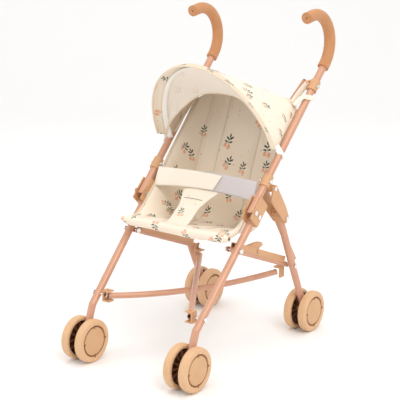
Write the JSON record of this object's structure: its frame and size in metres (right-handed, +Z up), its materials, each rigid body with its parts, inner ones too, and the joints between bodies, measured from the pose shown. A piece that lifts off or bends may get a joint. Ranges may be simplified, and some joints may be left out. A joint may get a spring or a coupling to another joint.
{
  "type": "doll stroller",
  "caption": "Folding toy umbrella stroller for dolls, with a padded sling seat, a canopy, hooked grips, twin wheels and crossed tubes that let the sides close.",
  "frame": {"origin": "on the floor, at the middle of the bounding box footprint", "axes": "+Z up, -Y is the front where the child doll faces, +X is the right side seen from the front with the front wheels nearest"},
  "size_m": [0.263, 0.4348, 0.5618],
  "materials": {
    "tube": "satin powder coat",
    "bracket": "matte",
    "pin": "polished",
    "foam": "matte foam",
    "wheel": "matte",
    "cloth": "woven cotton print",
    "bow": "gloss"
  },
  "bodies": {
    "frame_left": {"left_leg": "tube", "left_channel": "bracket", "left_leg_pins": "pin", "seat": "cloth", "crotch_strap": "cloth"},
    "handle_left": {"left_handle": "tube", "left_grip": "foam", "left_grip_plug": "foam", "left_collar": "bracket", "left_bracket": "bracket", "left_handle_pins": "pin", "backrest": "cloth", "canopy_hood": "cloth", "waist_belt": "cloth"},
    "rear_left": {"left_rear_leg": "tube", "left_fork": "bracket", "left_rear_pins": "pin"},
    "link_left": {"left_link": "tube", "left_link_cover": "bracket"},
    "lever_left": {"left_lever": "bracket"},
    "front_yoke_left": {"left_front_yoke": "bracket"},
    "rear_yoke_left": {"left_rear_yoke": "bracket"},
    "upper_yoke_left": {"left_upper_yoke": "bracket"},
    "frame_right": {"right_leg": "tube", "right_channel": "bracket", "right_leg_pins": "pin"},
    "handle_right": {"right_handle": "tube", "right_grip": "foam", "right_grip_plug": "foam", "right_collar": "bracket", "right_bracket": "bracket", "right_handle_pins": "pin"},
    "rear_right": {"right_rear_leg": "tube", "right_fork": "bracket", "right_rear_pins": "pin"},
    "link_right": {"right_link": "tube", "right_link_cover": "bracket"},
    "lever_right": {"right_lever": "bracket"},
    "front_yoke_right": {"right_front_yoke": "bracket"},
    "rear_yoke_right": {"right_rear_yoke": "bracket"},
    "upper_yoke_right": {"right_upper_yoke": "bracket"},
    "tube_bowed": {"bottom_tube_bowed": "tube"},
    "tube_straight": {"bottom_tube_straight": "tube"},
    "rear_tube_left": {"rear_tube_front": "tube"},
    "rear_tube_right": {"rear_tube_back": "tube"},
    "canopy": {"canopy_bow": "bow", "canopy_visor": "cloth"},
    "wheel_fl_out": {"wheel_fl_out": "wheel"},
    "wheel_fl_in": {"wheel_fl_in": "wheel"},
    "wheel_fr_out": {"wheel_fr_out": "wheel"},
    "wheel_fr_in": {"wheel_fr_in": "wheel"},
    "wheel_rl_out": {"wheel_rl_out": "wheel"},
    "wheel_rl_in": {"wheel_rl_in": "wheel"},
    "wheel_rr_out": {"wheel_rr_out": "wheel"},
    "wheel_rr_in": {"wheel_rr_in": "wheel"}
  },
  "joints": [
    {"name": "fold", "type": "hinge", "parent": "frame_left", "child": "handle_left", "pos_m": [-0.1125, -0.02074, 0.251], "axis": [1, 0, 0], "range_deg": [0, 75], "deforming": ["seat", "backrest", "canopy_hood", "canopy_visor", "canopy_bow", "waist_belt", "crotch_strap"]},
    {"name": "sides_close", "type": "slide", "parent": "frame_left", "child": "frame_right", "axis": [-1, 0, 0], "range_m": [-0.00001, 0.11001]},
    {"name": "rear_leg_left", "type": "hinge", "parent": "handle_left", "child": "rear_left", "pos_m": [-0.1125, 0.03116, 0.2814], "axis": [1, 0, 0], "range_deg": [-37.94, 0.01]},
    {"name": "link_left_turn", "type": "hinge", "parent": "frame_left", "child": "link_left", "pos_m": [-0.097, -0.05644, 0.195], "axis": [1, 0, 0], "range_deg": [-0.01, 34.56]},
    {"name": "lock_left", "type": "hinge", "parent": "link_left", "child": "lever_left", "pos_m": [-0.097, 0.01716, 0.17443], "axis": [1, 0, 0], "range_deg": [-25, 0]},
    {"name": "front_yoke_left_tilt", "type": "hinge", "parent": "frame_left", "child": "front_yoke_left", "pos_m": [-0.09, -0.14524, 0.105], "axis": [1, 0, 0], "range_deg": [-0.01, 21.34]},
    {"name": "rear_yoke_left_tilt", "type": "hinge", "parent": "rear_left", "child": "rear_yoke_left", "pos_m": [-0.091, 0.11256, 0.128], "axis": [1, 0, 0], "range_deg": [-15.76, 0.01]},
    {"name": "upper_yoke_left_tilt", "type": "hinge", "parent": "handle_left", "child": "upper_yoke_left", "pos_m": [-0.099, 0.17056, 0.434], "axis": [1, 0, 0], "range_deg": [-16.75, 0.01]},
    {"name": "fold_right", "type": "hinge", "parent": "frame_right", "child": "handle_right", "pos_m": [0.1125, -0.02074, 0.251], "axis": [1, 0, 0], "range_deg": [-0.01, 75.01]},
    {"name": "rear_leg_right", "type": "hinge", "parent": "handle_right", "child": "rear_right", "pos_m": [0.1125, 0.03116, 0.2814], "axis": [1, 0, 0], "range_deg": [-37.94, 0.01]},
    {"name": "link_right_turn", "type": "hinge", "parent": "frame_right", "child": "link_right", "pos_m": [0.097, -0.05644, 0.195], "axis": [1, 0, 0], "range_deg": [-0.01, 34.56]},
    {"name": "lock_right", "type": "hinge", "parent": "link_right", "child": "lever_right", "pos_m": [0.097, 0.01716, 0.17443], "axis": [1, 0, 0], "range_deg": [-25, 0]},
    {"name": "front_yoke_right_tilt", "type": "hinge", "parent": "frame_right", "child": "front_yoke_right", "pos_m": [0.09, -0.14524, 0.105], "axis": [1, 0, 0], "range_deg": [-0.01, 21.34]},
    {"name": "rear_yoke_right_tilt", "type": "hinge", "parent": "rear_right", "child": "rear_yoke_right", "pos_m": [0.091, 0.11256, 0.128], "axis": [1, 0, 0], "range_deg": [-15.76, 0.01]},
    {"name": "upper_yoke_right_tilt", "type": "hinge", "parent": "handle_right", "child": "upper_yoke_right", "pos_m": [0.099, 0.17056, 0.434], "axis": [1, 0, 0], "range_deg": [-16.75, 0.01]},
    {"name": "bowed_tube_turn", "type": "hinge", "parent": "front_yoke_left", "child": "tube_bowed", "pos_m": [-0.084, -0.14524, 0.105], "axis": [0, 0, 1], "range_deg": [-0.01, 22.52]},
    {"name": "straight_tube_turn", "type": "hinge", "parent": "front_yoke_right", "child": "tube_straight", "pos_m": [0.084, -0.14524, 0.105], "axis": [0, 0, 1], "range_deg": [-22.52, 0.01]},
    {"name": "rear_tube_left_turn", "type": "hinge", "parent": "upper_yoke_left", "child": "rear_tube_left", "pos_m": [-0.09, 0.17056, 0.434], "axis": [0, 0.9905, -0.1377], "range_deg": [-0.01, 19.43]},
    {"name": "rear_tube_right_turn", "type": "hinge", "parent": "upper_yoke_right", "child": "rear_tube_right", "pos_m": [0.09, 0.17056, 0.434], "axis": [0, 0.9905, -0.1377], "range_deg": [-19.43, 0.01]},
    {"name": "canopy_tilt", "type": "hinge", "parent": "handle_left", "child": "canopy", "pos_m": [0, 0.05956, 0.333], "axis": [1, 0, 0], "range_deg": [-36, 0], "deforming": ["canopy_hood"]},
    {"name": "roll_fl_out", "type": "hinge", "parent": "frame_left", "child": "wheel_fl_out", "pos_m": [-0.1199, -0.18144, 0.036], "axis": [1, 0, 0], "continuous": true},
    {"name": "roll_fl_in", "type": "hinge", "parent": "frame_left", "child": "wheel_fl_in", "pos_m": [-0.0909, -0.18144, 0.036], "axis": [1, 0, 0], "continuous": true},
    {"name": "roll_fr_out", "type": "hinge", "parent": "frame_right", "child": "wheel_fr_out", "pos_m": [0.1199, -0.18144, 0.036], "axis": [1, 0, 0], "continuous": true},
    {"name": "roll_fr_in", "type": "hinge", "parent": "frame_right", "child": "wheel_fr_in", "pos_m": [0.0909, -0.18144, 0.036], "axis": [1, 0, 0], "continuous": true},
    {"name": "roll_rl_out", "type": "hinge", "parent": "rear_left", "child": "wheel_rl_out", "pos_m": [-0.1235, 0.15656, 0.036], "axis": [1, 0, 0], "continuous": true},
    {"name": "roll_rl_in", "type": "hinge", "parent": "rear_left", "child": "wheel_rl_in", "pos_m": [-0.0945, 0.15656, 0.036], "axis": [1, 0, 0], "continuous": true},
    {"name": "roll_rr_out", "type": "hinge", "parent": "rear_right", "child": "wheel_rr_out", "pos_m": [0.1235, 0.15656, 0.036], "axis": [1, 0, 0], "continuous": true},
    {"name": "roll_rr_in", "type": "hinge", "parent": "rear_right", "child": "wheel_rr_in", "pos_m": [0.0945, 0.15656, 0.036], "axis": [1, 0, 0], "continuous": true}
  ],
  "couplings": [
    {"joint": "sides_close", "follows": "fold", "m_per_rad": 0.084034},
    {"joint": "rear_leg_left", "follows": "fold", "ratio": -0.50571},
    {"joint": "link_left_turn", "follows": "fold", "ratio": 0.46072},
    {"joint": "front_yoke_left_tilt", "follows": "fold", "ratio": 0.28435},
    {"joint": "rear_yoke_left_tilt", "follows": "fold", "ratio": -0.20994},
    {"joint": "upper_yoke_left_tilt", "follows": "fold", "ratio": -0.22314},
    {"joint": "fold_right", "follows": "fold", "ratio": 1},
    {"joint": "rear_leg_right", "follows": "fold", "ratio": -0.50571},
    {"joint": "link_right_turn", "follows": "fold", "ratio": 0.46072},
    {"joint": "front_yoke_right_tilt", "follows": "fold", "ratio": 0.28435},
    {"joint": "rear_yoke_right_tilt", "follows": "fold", "ratio": -0.20994},
    {"joint": "upper_yoke_right_tilt", "follows": "fold", "ratio": -0.22314},
    {"joint": "bowed_tube_turn", "follows": "fold", "ratio": 0.30007},
    {"joint": "straight_tube_turn", "follows": "fold", "ratio": -0.30007},
    {"joint": "rear_tube_left_turn", "follows": "fold", "ratio": 0.25892},
    {"joint": "rear_tube_right_turn", "follows": "fold", "ratio": -0.25892}
  ]
}
